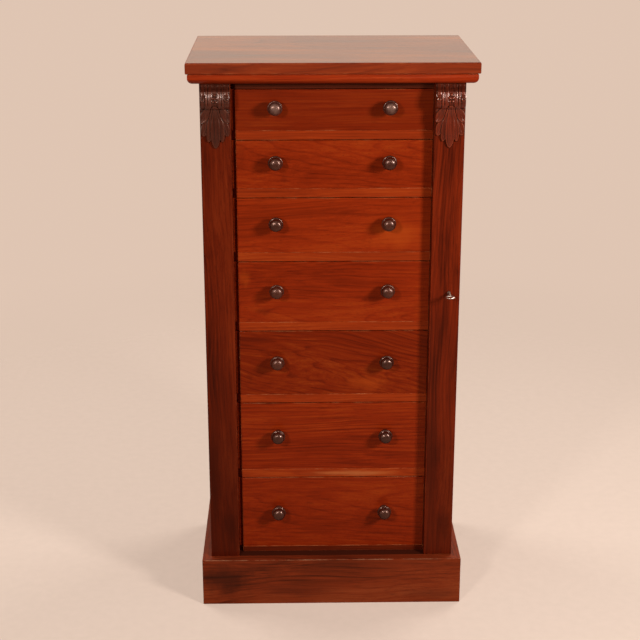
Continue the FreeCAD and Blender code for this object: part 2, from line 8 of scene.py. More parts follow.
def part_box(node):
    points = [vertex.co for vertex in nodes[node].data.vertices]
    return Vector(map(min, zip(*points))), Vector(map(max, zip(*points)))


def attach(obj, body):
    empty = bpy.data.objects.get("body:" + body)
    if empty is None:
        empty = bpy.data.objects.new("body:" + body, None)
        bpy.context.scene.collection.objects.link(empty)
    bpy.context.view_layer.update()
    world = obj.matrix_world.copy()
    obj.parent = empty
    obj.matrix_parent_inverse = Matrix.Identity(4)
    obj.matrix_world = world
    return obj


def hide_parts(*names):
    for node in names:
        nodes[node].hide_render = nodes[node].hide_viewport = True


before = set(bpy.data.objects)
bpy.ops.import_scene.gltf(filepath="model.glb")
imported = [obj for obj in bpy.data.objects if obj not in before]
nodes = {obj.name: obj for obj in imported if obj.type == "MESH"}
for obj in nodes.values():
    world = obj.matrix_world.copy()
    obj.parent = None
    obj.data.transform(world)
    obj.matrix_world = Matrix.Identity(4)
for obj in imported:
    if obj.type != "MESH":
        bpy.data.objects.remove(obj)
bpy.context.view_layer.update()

# Case sides: two wide mahogany boards on end, polished outside, rebated at the back for the planks.
# Everything else is glued, housed or nailed between them, so they stand first.

mm = 0.001
# The ring pattern's own gap between rings, in metres, at a scale of 1
wave_pitch = 0.314
# The turn that lays a board's grain along the pattern's own length
grain_turns = {"across": (0, 0, 0), "back": (0, 0, -pi / 2), "up": (0, pi / 2, 0)}


def put(tree, socket, value):
    """Sets a socket to a value, or joins it to another node's output."""
    if isinstance(value, bpy.types.NodeSocket):
        tree.links.new(value, socket)
    else:
        socket.default_value = value


def step(tree, kind, inputs, out=0, **settings):
    """One step of a finish: a shader node with its settings and inputs, and the output asked for."""
    made = tree.nodes.new("ShaderNode" + kind)
    for name, value in settings.items():
        setattr(made, name, value)
    for name, value in inputs.items():
        put(tree, made.inputs[name], value)
    return made.outputs[out]


def reckon(tree, how, *values):
    """Arithmetic on one to three values."""
    return step(tree, "Math", dict(enumerate(values)), operation=how)


def stain(tree, share, under, over):
    """One colour over another, as strong as the share says."""
    under, over = [tone if isinstance(tone, bpy.types.NodeSocket) else (*tone, 1) for tone in (under, over)]
    return step(tree, "Mix", {0: share, 6: under, 7: over}, out=2, data_type="RGBA")


def shades(tree, share, stops):
    """A run of colours, each stop a place from 0 to 1 and a colour or a grey."""
    made = tree.nodes.new("ShaderNodeValToRGB")
    put(tree, made.inputs[0], share)
    band = made.color_ramp.elements
    for place, colour in stops[1:-1]:
        band.new(place)
    for stop, (place, colour) in zip(band, stops):
        stop.position = place
        stop.color = (*colour, 1) if isinstance(colour, tuple) else (colour, colour, colour, 1)
    return made.outputs[0]


def speckle(tree, place, size, detail=2.0, rough=0.5):
    """Cloudy variation whose grains are as long each way as the size says, in metres."""
    laid = step(tree, "Mapping", {"Vector": place, "Scale": tuple(1 / s for s in size)})
    return step(tree, "TexNoise", {"Vector": laid, "Scale": 1.0, "Detail": detail, "Roughness": rough})


def unfinished(name):
    """A new finish, its node tree and its shader, with nothing set yet."""
    finish = bpy.data.materials.new(name)
    finish.use_nodes = True
    return finish, finish.node_tree, finish.node_tree.nodes["Principled BSDF"]


def timber(name, dark, middle, light, grain="across", heart=(0.05, 0.0), lean=(1.0, 2.0), ring=0.007,
           wander=8.0, swirl=0.012, figure=1.0, patchy=0.6, rough=0.36, gloss=0.14,
           tint=(1.0, 0.50, 0.22), coat=0.05, coat_rough=0.18, worn=0.0, worn_colour=(0.42, 0.13, 0.045)):
    """A board's finish: growth rings round the log's heart, fibres, pores and cloudy patches.

    heart is where the log's middle lies across the grain, in metres; lean is how many degrees the board
    was cut off the log's line; swirl is how far, in metres, the grain strays; tint is the colour of the
    wood's own gloss under the coat."""
    finish, tree, polish = unfinished(name)
    place = step(tree, "TexCoord", {}, out="Object")
    laid = step(tree, "Mapping", {"Vector": place, "Rotation": grain_turns[grain]})
    log = step(tree, "Mapping", {"Vector": laid, "Location": (0, -heart[0], -heart[1]),
                                 "Rotation": (0, radians(lean[0]), radians(lean[1]))})
    broad = step(tree, "Mapping", {"Vector": log, "Scale": (1 / 0.30, 1 / 0.09, 1 / 0.09)})
    drift = step(tree, "TexNoise", {"Vector": broad, "Scale": 1.0, "Detail": 1.0}, out="Color")
    strayed = step(tree, "VectorMath", {0: drift, 1: (0, swirl * 2, swirl * 2), 2: log},
                   operation="MULTIPLY_ADD")
    drawn = step(tree, "Mapping", {"Vector": strayed, "Scale": (0.12, 1, 1)})
    # A ring's tone runs from pale early wood to a thin dark line of late wood
    rings = step(tree, "TexWave", {"Vector": drawn, "Scale": wave_pitch / ring, "Distortion": wander,
                                   "Detail": 3.0, "Detail Scale": 0.5, "Detail Roughness": 0.6},
                 out="Fac", wave_type="RINGS", rings_direction="X", wave_profile="SAW")
    ring_tone = shades(tree, rings, [(0.0, 0.55), (0.28, 0.63), (0.78, 0.50), (0.94, 0.08), (1.0, 0.46)])
    fibre = speckle(tree, drawn, (0.022, 0.0042, 0.0042), 3.0, 0.6)
    patch = speckle(tree, drawn, (0.045, 0.07, 0.07), 2.0, 0.5)
    pore = speckle(tree, drawn, (0.0045, 0.0008, 0.0008), 1.0, 0.5)
    tone = reckon(tree, "MULTIPLY_ADD", ring_tone, 0.42 * figure, 0.5 - 0.21 * figure)
    tone = reckon(tree, "MULTIPLY_ADD", reckon(tree, "SUBTRACT", fibre, 0.5), 0.9 * figure, tone)
    tone = reckon(tree, "MULTIPLY_ADD", reckon(tree, "SUBTRACT", patch, 0.5), 1.5 * patchy, tone)
    colour = shades(tree, tone, [(0.12, dark), (0.52, middle), (0.92, light)])
    pit = shades(tree, pore, [(0.56, 0.0), (0.70, 1.0)])
    colour = stain(tree, reckon(tree, "MULTIPLY", pit, 0.5), colour, dark)
    if worn:
        rub = shades(tree, speckle(tree, place, (0.030, 0.030, 0.030), 4.0, 0.65),
                     [(0.60 - 0.28 * worn, 0.0), (0.74 - 0.14 * worn, 1.0)])
        colour = stain(tree, reckon(tree, "MULTIPLY", rub, 0.25 + 0.6 * worn), colour, worn_colour)
    put(tree, polish.inputs["Base Color"], colour)
    put(tree, polish.inputs["Roughness"],
        reckon(tree, "MULTIPLY_ADD", reckon(tree, "ADD", fibre, patch), 0.22, rough - 0.22))
    relief = reckon(tree, "MULTIPLY_ADD", pit, -0.6, fibre)
    bump = step(tree, "Bump", {"Height": relief, "Strength": 0.30, "Distance": 0.00025})
    put(tree, polish.inputs["Normal"], bump)
    polish.inputs["Coat Weight"].default_value = coat
    polish.inputs["Coat Roughness"].default_value = coat_rough
    polish.inputs["Specular IOR Level"].default_value = gloss
    polish.inputs["Specular Tint"].default_value = (*tint, 1)
    return finish


def pick(piece):
    """Only this piece is selected and active."""
    bpy.ops.object.select_all(action="DESELECT")
    piece.select_set(True)
    bpy.context.view_layer.objects.active = piece


def pick_edges(piece, rule):
    """In edit mode, selects the sharp edges whose ends both keep the rule."""
    bpy.ops.mesh.select_mode(type="EDGE")
    bpy.ops.mesh.select_all(action="DESELECT")
    shape = bmesh.from_edit_mesh(piece.data)
    for edge in shape.edges:
        sharp = edge.is_manifold and edge.calc_face_angle(0) > radians(25)
        edge.select_set(sharp and all(rule(end.co) for end in edge.verts))
    shape.select_flush_mode()
    bmesh.update_edit_mesh(piece.data)


def even_light(piece):
    """Smooth over the small turns, with the broad faces kept flat."""
    pick(piece)
    bpy.ops.object.shade_smooth_by_angle(angle=radians(50))
    flat = piece.modifiers.new("flat", "WEIGHTED_NORMAL")
    flat.keep_sharp = True
    bpy.ops.object.modifier_apply(modifier=flat.name)


def eased(node, body, finishes, arris, rule=lambda end: True, board=lambda middle: 0):
    """A board of the case with its sharp arrises taken off, in the finish that its board rule names.

    The last finish is the rubbed one on the arrises."""
    piece = bpy.data.objects.new(node + "_eased", nodes[node].data.copy())
    bpy.context.scene.collection.objects.link(piece)
    piece.data.materials.clear()
    for finish in finishes:
        piece.data.materials.append(finish)
    pick(piece)
    bpy.ops.object.mode_set(mode="EDIT")
    bpy.ops.mesh.select_all(action="SELECT")
    bpy.ops.mesh.remove_doubles(threshold=0.01 * mm)
    shape = bmesh.from_edit_mesh(piece.data)
    for face in shape.faces:
        face.material_index = board(face.calc_center_median())
    bmesh.update_edit_mesh(piece.data)
    bpy.ops.mesh.select_mode(type="FACE")
    bpy.ops.mesh.select_all(action="DESELECT")
    bpy.ops.mesh.select_interior_faces()
    bpy.ops.mesh.delete(type="FACE")
    bpy.ops.mesh.select_all(action="SELECT")
    bpy.ops.mesh.dissolve_limited(angle_limit=radians(0.5), delimit={"MATERIAL"})
    pick_edges(piece, rule)
    bpy.ops.mesh.bevel(offset=arris, segments=2, affect="EDGES", clamp_overlap=True,
                       material=len(finishes) - 1)
    bpy.ops.object.mode_set(mode="OBJECT")
    even_light(piece)
    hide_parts(node)
    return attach(piece, body)


case_tones = dict(dark=(0.060, 0.0055, 0.0015), middle=(0.135, 0.0120, 0.0022), light=(0.205, 0.026, 0.0045))
for side, lean, heart_x in (("left", (1.5, 2.5), 0.30), ("right", (-1.0, -3.0), -0.28)):
    low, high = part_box(f"side_{side}")
    outer_x = low.x if side == "left" else high.x
    cut = dict(case_tones, grain="up", heart=(0.03, heart_x), lean=lean, ring=0.009)
    boards = [timber(f"side_{side}_mahogany", **cut), timber(f"side_{side}_arris", worn=0.3, **cut)]
    eased(f"side_{side}", "case", boards, arris=0.6 * mm,
          rule=lambda end, x=outer_x: abs(end.x - x) < mm)

# Carcase inside the sides: posts, bottom, runners, guides, dust boards and stops, of plain pine left
# bare but for the dark stained fronts of the posts and the bottom. The runners carry the drawers, and
# the dust boards slide in the runners' grooves.

pine_tones = dict(dark=(0.26, 0.135, 0.055), middle=(0.42, 0.255, 0.120), light=(0.52, 0.345, 0.180))


def bare_pine(name, grain, heart, ring=0.006, stained_to=None, stained=(0.036, 0.0052, 0.0023)):
    """Unpolished pine, dull and a little dirty, stained dark in front of a plane where one is given."""
    finish = timber(name, grain=grain, heart=heart, ring=ring, figure=0.7, rough=0.72, coat=0.0, **pine_tones)
    if stained_to is not None:
        tree = finish.node_tree
        base = tree.nodes["Principled BSDF"].inputs["Base Color"]
        place = step(tree, "TexCoord", {}, out="Object")
        depth = step(tree, "SeparateXYZ", {0: place}, out="Y")
        ragged = reckon(tree, "MULTIPLY_ADD", speckle(tree, place, (0.03, 0.01, 0.03)), 8 * mm, depth)
        front = reckon(tree, "LESS_THAN", ragged, stained_to)
        put(tree, base, stain(tree, front, base.links[0].from_socket, stained))
    return finish


def lay_finish(node, finish):
    """Gives a CAD node its finish, with its shape as it is."""
    for place in nodes[node].material_slots:
        place.material = finish


post_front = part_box("front_posts")[0].y
post_stain_deep, bottom_stain_deep = 19 * mm, 25 * mm
upright_pine = bare_pine("upright_pine", "up", (0.11, -0.21))
post_pine = bare_pine("post_pine", "up", (0.02, -0.21), stained_to=post_front + post_stain_deep,
                      stained=(0.088, 0.0125, 0.0042))
crosswise_pine = bare_pine("crosswise_pine", "across", (-0.10, 0.66), 0.008)
bottom_pine = bare_pine("bottom_pine", "across", (-0.02, 0.16), 0.008,
                        stained_to=post_front + bottom_stain_deep)
runner_pine = bare_pine("runner_pine", "back", (0.12, 0.52), 0.007)
lay_finish("front_posts", post_pine)
lay_finish("plinth_blocks", upright_pine)
lay_finish("bottom_board", bottom_pine)
for node in ("dust_boards", "drawer_stops"):
    lay_finish(node, crosswise_pine)
for node in ("drawer_runners", "drawer_guides"):
    lay_finish(node, runner_pine)

# Rails between the drawers, and the rail under the moulding: mahogany, tenoned into the posts. The rails
# between the drawers are lighter and more orange than the drawers; the rail under the moulding is painted
# dark, as painted shade from the moulding above it. Their front arrises are rubbed pale where drawers have
# scraped them.

rail_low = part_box("drawer_rails")[0]
bottom_rail_tall = 13 * mm
# Within a hair's breadth, a place counts as lying on a plane
hair = 0.1 * mm


def marked(finish, marks):
    """Local marks on a finish, such as a knot, a stain or a rub: middle, half size, colour and strength."""
    tree = finish.node_tree
    base = tree.nodes["Principled BSDF"].inputs["Base Color"]
    place = step(tree, "TexCoord", {}, out="Object")
    for middle, half, colour, strength in marks:
        near = step(tree, "Mapping", {"Vector": place, "Scale": tuple(1 / h for h in half),
                                      "Location": tuple(-m / h for m, h in zip(middle, half))})
        away = step(tree, "VectorMath", {0: near}, out="Value", operation="LENGTH")
        ragged = reckon(tree, "MULTIPLY_ADD", speckle(tree, near, (0.6, 0.6, 0.6), 3.0, 0.6), 1.2,
                        reckon(tree, "SUBTRACT", away, 0.6))
        share = step(tree, "MapRange", {"Value": ragged, "From Min": 1.0, "From Max": 0.2,
                                        "To Max": strength}, interpolation_type="SMOOTHSTEP")
        put(tree, base, stain(tree, share, base.links[0].from_socket, colour))
    return finish


rail_cut = dict(dark=(0.120, 0.0105, 0.0020), middle=(0.235, 0.0225, 0.0030), light=(0.330, 0.048, 0.0060),
                grain="across", heart=(-0.09, 0.30), lean=(0.4, 1.0), ring=0.006, wander=6.0, figure=0.8)
dark_rail_cut = dict(rail_cut, dark=(0.030, 0.0035, 0.0015), middle=(0.075, 0.0070, 0.0020),
                     light=(0.125, 0.0140, 0.0030), heart=(-0.09, 1.12))
# The rail over the lowest drawer is the most rubbed, half way up its face
rub_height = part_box("drawer_7_front")[1].z + 9 * mm
rail_rub = ((0.045, rail_low.y, rub_height), (0.110, 0.02, 0.008), (0.40, 0.115, 0.032), 0.55)
rail_boards = [marked(timber("rail_mahogany", **rail_cut), [rail_rub]),
               timber("bottom_rail_mahogany", **dark_rail_cut),
               timber("rail_arris", worn=0.6, **rail_cut)]
# The rail under the moulding is darker still: painted shade for the moulding's shadow on it
shaded_top_rail_cut = dict(dark_rail_cut, middle=(0.056, 0.0076, 0.0030))
shaded_top_rail_boards = [timber("top_rail_painted_shade", **shaded_top_rail_cut),
                   timber("top_rail_arris_painted_shade", worn=0.2, **shaded_top_rail_cut)]
eased("drawer_rails", "case", rail_boards, arris=0.7 * mm,
      rule=lambda end: end.y < rail_low.y + hair,
      board=lambda middle: 1 if middle.z < rail_low.z + bottom_rail_tall else 0)
eased("top_rails", "case", shaded_top_rail_boards, arris=0.7 * mm,
      rule=lambda end: end.y < rail_low.y + hair)

# Back: three upright planks of thin pine in the sides' rebates, darkened by age and never polished,
# nailed to the top rail at the back and to the bottom board.

back_low, back_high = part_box("back_boards")
aged_pine = timber("aged_pine", (0.115, 0.056, 0.024), (0.215, 0.118, 0.052), (0.30, 0.18, 0.085), grain="up",
                   heart=(0.23, 0.05), lean=(0.6, 1.5), ring=0.011, figure=0.8, rough=0.78, coat=0.0)
lay_finish("back_boards", aged_pine)


def turned(name, sizes, sides, middle=(0, 0, 0), turn=0.0):
    """A turned piece: a ring carried out along -Y from size to size, each a way out and a radius.

    turn tips the whole piece about X before it is set at its middle."""
    bpy.ops.object.select_all(action="DESELECT")
    bpy.ops.mesh.primitive_circle_add(vertices=sides, radius=sizes[0][1], fill_type="NGON",
                                      location=(0, -sizes[0][0], 0), rotation=(pi / 2, 0, 0))
    piece = bpy.context.object
    piece.name = piece.data.name = name
    bpy.ops.object.transform_apply()
    bpy.ops.object.mode_set(mode="EDIT")
    bpy.ops.mesh.select_mode(type="FACE")
    bpy.ops.mesh.select_all(action="SELECT")
    for (near, old), (far, new) in zip(sizes, sizes[1:]):
        bpy.ops.mesh.extrude_region_move(TRANSFORM_OT_translate={"value": (0, near - far, 0)})
        bpy.ops.transform.resize(value=(new / old, 1, new / old), center_override=(0, -far, 0))
    bpy.ops.mesh.select_all(action="SELECT")
    bpy.ops.mesh.normals_make_consistent(inside=False)
    bpy.ops.object.mode_set(mode="OBJECT")
    bpy.ops.object.shade_smooth_by_angle(angle=radians(42))
    piece.data.transform(Matrix.Translation(middle) @ Matrix.Rotation(turn, 4, "X"))
    return piece


def another(piece, name, shift, turn=None):
    """A copy with a mesh of its own, turned about its own middle where a turn is given, and moved."""
    made = bpy.data.objects.new(name, piece.data.copy())
    bpy.context.scene.collection.objects.link(made)
    made.data.transform(Matrix.Translation(shift) @ (turn or Matrix.Identity(4)))
    return made


def in_one(pieces, name):
    """Several loose pieces joined into one object."""
    bpy.ops.object.select_all(action="DESELECT")
    for piece in pieces:
        piece.select_set(True)
    bpy.context.view_layer.objects.active = pieces[0]
    bpy.ops.object.join()
    pieces[0].name = pieces[0].data.name = name
    return pieces[0]


def metal(name, colour, tarnish, rough):
    """Old metal: bright where it is handled, dull and darker in patches."""
    finish, tree, face = unfinished(name)
    place = step(tree, "TexCoord", {}, out="Object")
    cloud = speckle(tree, place, (0.012,) * 3, 4.0, 0.65)
    fine = speckle(tree, place, (0.0008,) * 3, 2.0, 0.6)
    dull = shades(tree, cloud, [(0.38, 0.0), (0.66, 1.0)])
    put(tree, face.inputs["Base Color"], stain(tree, dull, colour, tarnish))
    put(tree, face.inputs["Roughness"], reckon(tree, "MULTIPLY_ADD", dull, 0.22, rough))
    bump = step(tree, "Bump", {"Height": fine, "Strength": 0.25, "Distance": 0.0001})
    put(tree, face.inputs["Normal"], bump)
    face.inputs["Metallic"].default_value = 1.0
    return finish


nail_iron = metal("nail_iron", (0.16, 0.13, 0.11), (0.09, 0.05, 0.03), 0.5)
nail_sizes = ((0, 2.3 * mm), (0.5 * mm, 2.2 * mm), (0.9 * mm, 1.2 * mm), (1.0 * mm, 0.2 * mm))
nail = turned("back_nail", nail_sizes, sides=12, turn=pi)
planks = 3
plank_wide = (back_high.x - back_low.x) / planks
end_inset, edge_inset, edge_gaps = 12 * mm, 5 * mm, 6
nails = []
for column in range(planks):
    for share in (0.12, 0.88):
        for z in (back_high.z - end_inset, back_low.z + end_inset):
            where = Vector((back_low.x + plank_wide * (column + share), back_high.y, z))
            nails.append(another(nail, "nail", where))
for sign in (-1, 1):
    for row in range(1, edge_gaps):
        z = back_low.z + (back_high.z - back_low.z) * row / edge_gaps
        nails.append(another(nail, "nail", Vector((sign * (back_high.x - edge_inset), back_high.y, z))))
bpy.data.objects.remove(nail)
back_nails = in_one(nails, "back_nails")
back_nails.data.materials.append(nail_iron)
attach(back_nails, "case")

# Plinth: front and side boards mitred at the corners, with a lower board at the back, glued to blocks
# inside. Knocks have rubbed its arrises pale, and its finish is darker and duller than the case's.

plinth_low, plinth_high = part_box("plinth_boards")
past_plinth_thick = 21 * mm
plinth_tones = dict(dark=(0.060, 0.0090, 0.0032), middle=(0.172, 0.0215, 0.0052),
                    light=(0.245, 0.042, 0.0110), rough=0.42, patchy=0.8, swirl=0.02)
# Dark patches near the floor, the strongest on the left
plinth_marks = [
    ((plinth_low.x + 0.045, plinth_low.y, 0.055), (0.075, 0.02, 0.045), (0.022, 0.0045, 0.0025), 0.7),
    ((plinth_low.x + 0.20, plinth_low.y, 0.030), (0.110, 0.02, 0.022), (0.045, 0.0080, 0.0040), 0.3),
    ((plinth_high.x - 0.06, plinth_low.y, 0.020), (0.090, 0.02, 0.018), (0.045, 0.0080, 0.0040), 0.3),
]
plinth_boards = [
    marked(timber("plinth_front", heart=(-0.12, 0.02), lean=(0.8, 2.0), ring=0.009, figure=0.9,
                  **plinth_tones), plinth_marks),
    timber("plinth_end", grain="back", heart=(0.2, 0.03), lean=(0.8, -2.0), figure=0.9, **plinth_tones),
    timber("plinth_arris", heart=(-0.12, 0.02), worn=0.6, worn_colour=(0.33, 0.165, 0.085), **plinth_tones),
]


def past_mitre(low, high, thick):
    """A rule for the end boards, past the mitres that run in from the two front corners."""
    return lambda middle: 1 if high.x - abs(middle.x) < min(middle.y - low.y, thick) else 0


eased("plinth_boards", "case", plinth_boards, arris=1.2 * mm,
      rule=lambda end: abs(end.x) > plinth_high.x - mm or end.y < plinth_low.y + mm,
      board=past_mitre(plinth_low, plinth_high, past_plinth_thick))

# Top moulding: a strip with a quirk over a rounded edge, mitred round the front and both sides and
# glued under the top. It is the lightest and most orange of the polished pieces.

moulding_low, moulding_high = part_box("top_moulding")
past_strip_deep, quirk_tall = 22 * mm, 2.5 * mm
moulding_tones = dict(dark=(0.125, 0.0085, 0.0015), middle=(0.212, 0.0150, 0.0020),
                      light=(0.300, 0.032, 0.0040), figure=0.8)
moulding_boards = [
    timber("moulding_front", heart=(-0.20, 1.16), lean=(0.3, 1.2), wander=5.0, **moulding_tones),
    timber("moulding_end", grain="back", heart=(-0.27, 1.16), lean=(0.3, 1.2), wander=5.0, **moulding_tones),
    timber("moulding_arris", heart=(-0.20, 1.16), worn=0.35, **moulding_tones),
]
eased("top_moulding", "case", moulding_boards, arris=0.4 * mm,
      rule=lambda end: end.z > moulding_high.z - quirk_tall,
      board=past_mitre(moulding_low, moulding_high, past_strip_deep))

# Top: one wide mahogany board with square, lightly taken-off edges, screwed down from inside. Its
# polish is the fullest on the chest. Its face is paler and more tan than its edges: partly fine dust and
# rubbing, partly a painted sheen of low light.

top_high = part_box("top_board")[1]
top_cut = dict(dark=(0.092, 0.0095, 0.0020), middle=(0.180, 0.0195, 0.0034), light=(0.262, 0.040, 0.0066),
               heart=(0.10, 1.02), lean=(2.0, 1.5), ring=0.010, swirl=0.02, figure=0.9)
# The face's paler, more tan tones: partly dust, partly a painted sheen of low light
dust_and_sheen_cut = dict(top_cut, dark=(0.050, 0.008, 0.003), middle=(0.175, 0.040, 0.008),
                 light=(0.330, 0.088, 0.018), figure=1.3, patchy=1.1)
top_boards = [timber("top_face", coat=1.0, coat_rough=0.20, **dust_and_sheen_cut),
              timber("top_edge", coat=0.25, **top_cut),
              timber("top_arris", coat=0.25, worn=0.4, **top_cut)]
eased("top_board", "case", top_boards, arris=0.5 * mm,
      board=lambda middle: 0 if middle.z > top_high.z - hair else 1)

# Pilaster on the left and locking stile on the right: upright mahogany, darker and redder than the
# drawers. The pilaster is glued to its post; the stile swings on two pivots and holds the lock.

# For each upright: its body, where its log's heart lies, the lean of its grain, and its three tones
uprights = {
    "pilaster": ("case", (-0.11, 0.16), (1.4, 2.4),
                 (0.030, 0.0026, 0.0010), (0.096, 0.0074, 0.0014), (0.155, 0.0160, 0.0028)),
    "locking_stile": ("stile", (-0.13, -0.30), (-1.2, 1.6),
                      (0.038, 0.0034, 0.0012), (0.134, 0.0108, 0.0020), (0.200, 0.0220, 0.0038)),
}
for node, (body, heart, lean, dark, middle, light) in uprights.items():
    low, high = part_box(node)
    cut = dict(dark=dark, middle=middle, light=light, grain="up", heart=heart, lean=lean, ring=0.0075,
               wander=11.0, figure=0.9, patchy=1.0)
    middle_x = (low.x + high.x) / 2
    # The first mark darkens the lower part as painted shade, the light falling off towards the floor;
    # the other two are narrow dark blotches in the wood
    falloff_shade_and_blotches = [((middle_x, low.y, 0.16), (0.16, 0.05, 0.42), dark, 0.48),
             ((middle_x - 0.02, low.y, 0.30), (0.02, 0.02, 0.16), dark, 0.6),
             ((middle_x + 0.01, low.y, 0.17), (0.022, 0.02, 0.05), dark, 0.6)]
    boards = [marked(timber(f"{node}_mahogany", **cut), falloff_shade_and_blotches),
              timber(f"{node}_arris", worn=0.25, worn_colour=(0.26, 0.060, 0.022), **cut)]
    eased(node, body, boards, arris=1.0 * mm,
          rule=lambda end, y=low.y: end.y < y + hair)

# Carved corbels, one on the pilaster and one on the stile: a fluted hollow and a roll with curls at its
# ends, over a bud and a fan of leaves. They are carved in dark wood, glued on and polished to a gloss.

corbel_low, corbel_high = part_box("corbel_left")
corbel_half = (corbel_high.x - corbel_low.x) / 2 / mm
corbel_tall = (corbel_high.z - corbel_low.z) / mm
corbel_out = (corbel_high.y - corbel_low.y) / mm
carving_step = 0.5
# The side view's arcs, each through three points: a share of the reach and a share of the height
corbel_arcs = (
    ((0.40, 1.00), (0.41, 0.965), (0.68, 0.90)),
    ((0.68, 0.90), (0.87, 0.81), (0.94, 0.70)),
    ((0.94, 0.70), (0.84, 0.65), (0.58, 0.61)),
    ((0.58, 0.61), (0.45, 0.53), (0.39, 0.42)),
    ((0.39, 0.42), (0.29, 0.19), (0.10, 0.00)),
)
# Depths in millimetres that stand for wood cut away: all of it, and down to the board behind
cut_through, board_sunk = -9.0, -0.6


def arc_out(shares, up):
    """How far out an arc through three points of the side view stands at a height."""
    (ax, ay), (bx, by), (cx, cy) = [(x * corbel_out, y * corbel_tall) for x, y in shares]
    twice = 2 * (ax * (by - cy) + bx * (cy - ay) + cx * (ay - by))
    a, b, c = ax * ax + ay * ay, bx * bx + by * by, cx * cx + cy * cy
    middle_x = (a * (by - cy) + b * (cy - ay) + c * (ay - by)) / twice
    middle_y = (a * (cx - bx) + b * (ax - cx) + c * (bx - ax)) / twice
    half_chord = sqrt(max(0.0, hypot(ax - middle_x, ay - middle_y) ** 2 - (up - middle_y) ** 2))
    return middle_x + (half_chord if bx > middle_x else -half_chord)


def side_view(up):
    """The corbel's reach at a height above its tip."""
    for shares in corbel_arcs:
        if up >= shares[2][1] * corbel_tall:
            return arc_out(shares, up)
    return arc_out(corbel_arcs[-1], 0.0)


def ease_in(low, high, value):
    """0 below low and 1 above high, with a soft turn at both."""
    share = min(1.0, max(0.0, (value - low) / (high - low)))
    return share * share * (3 - 2 * share)


# Leaves of the fan, in millimetres from the corbel's middle and up from its tip: root, tip, half width
# and lift. All but the first are carved on both sides.
leaves = (
    ((0.0, 84.0), (0.0, 1.5), 8.6, 2.6),
    ((4.0, 80.0), (13.0, 14.0), 6.4, 1.7),
    ((9.0, 68.0), (23.5, 25.0), 7.4, 0.6),
    ((9.0, 84.0), (26.0, 50.5), 7.2, 1.6),
)
leaf_widest = 0.62
leaf_sunk, leaf_hollow, edge_slope = 1.6, 0.4, 2.4
vein_tall, vein_half = 0.45, 0.9
tip_curl, side_fall = 0.5, 0.22
# The roll's ribs, each its place aside and its half width, its foot, and the curl at each end
roll_ribs = ((8.6, 3.8), (15.4, 2.7))
gouge_deep, foot_sunk, end_sunk, strap_half = 1.7, 2.6, 1.1, 4.6
roll_foot, curl_inner = 68.0, 17.5
curl_middle, curl_radius, curl_pitch = (21.8, 96.0), 5.4, 4.6
# Beads of the bud: across, up and radius
bud_beads = ((0.0, 104.0, 3.0), (4.2, 98.4, 3.0), (-4.2, 98.4, 3.0), (2.7, 91.6, 3.0), (-2.7, 91.6, 3.0),
             (0.0, 97.4, 2.6))
bud_sunk, bead_rise = 2.6, 1.15


def leaf_out(across, up, leaf):
    """How far out one leaf stands: a gouged hollow between raised rims, with a vein down its middle."""
    (root_x, root_y), (tip_x, tip_y), half_width, lift = leaf
    along_x, along_y = tip_x - root_x, tip_y - root_y
    length = hypot(along_x, along_y)
    share = ((across - root_x) * along_x + (up - root_y) * along_y) / length ** 2
    aside = ((across - root_x) * along_y - (up - root_y) * along_x) / length
    if share < 0:
        return cut_through
    if share < leaf_widest:
        width = half_width * (1 - leaf_widest + leaf_widest * ease_in(0.0, leaf_widest, share))
    else:
        width = half_width * max(0.0, 1 - ((share - leaf_widest) / (1 - leaf_widest)) ** 2) ** 0.55
    beyond = hypot(max(0.0, abs(aside) - width), max(0.0, share - 1) * length)
    within = min(1.0, abs(aside) / max(width, 0.01))
    hollow = leaf_hollow * (1 - within * within) * ease_in(0.04, 0.3, share)
    vein = vein_tall * max(0.0, 1 - abs(aside) / vein_half) * ease_in(0.1, 0.4, share)
    fall = 1 - side_fall * (across / corbel_half) ** 2
    curl = tip_curl * ease_in(0.72, 1.0, share)
    return side_view(up) * fall + lift + curl - leaf_sunk - hollow + vein - edge_slope * beyond


def roll_out(across, up):
    """How far out the hollow and the roll stand, with their ribs and the curls at both ends."""
    if up <= roll_foot:
        return cut_through
    aside = abs(across)
    crest = side_view(up) - end_sunk * ease_in(25.0, 27.5, aside)
    rib = max(sqrt(max(0.0, 1 - ((aside - middle) / half) ** 2)) for middle, half in roll_ribs)
    if aside > curl_inner:
        turn_x, turn_y = aside - curl_middle[0], up - curl_middle[1]
        away = hypot(turn_x, turn_y)
        groove = 0.5 + 0.5 * cos(2 * pi * (away / curl_pitch - atan2(turn_y, turn_x) / (2 * pi)))
        curl = groove if away > 1.5 else 0.0
        inside = 1 - ease_in(curl_radius - 0.8, curl_radius + 0.4, away)
        strap = sqrt(max(0.0, 1 - ((aside - curl_middle[0]) / strap_half) ** 2)) * ease_in(101.0, 105.0, up)
        rib = max(curl * inside, strap)
    gouge = gouge_deep - 0.8 * ease_in(112.0, 120.0, up)
    lower = foot_sunk * (1 - ease_in(74.0, 86.0, up))
    return crest - gouge * (1 - rib) - lower


def bud_out(across, up):
    """The bud of small beads under the middle of the roll."""
    out = cut_through
    for x, y, radius in bud_beads:
        away = hypot(across - x, up - y)
        if away < radius:
            out = max(out, side_view(up) - bud_sunk + bead_rise * sqrt(radius ** 2 - away ** 2))
    return out


def carved_out(across, up):
    """How far out the carving stands; below zero the wood is cut away to the board behind."""
    reach = [roll_out(across, up), bud_out(across, up)]
    for leaf in leaves:
        reach.append(leaf_out(abs(across) if leaf[0][0] else across, up, leaf))
    return min(corbel_out, max(board_sunk, *reach))


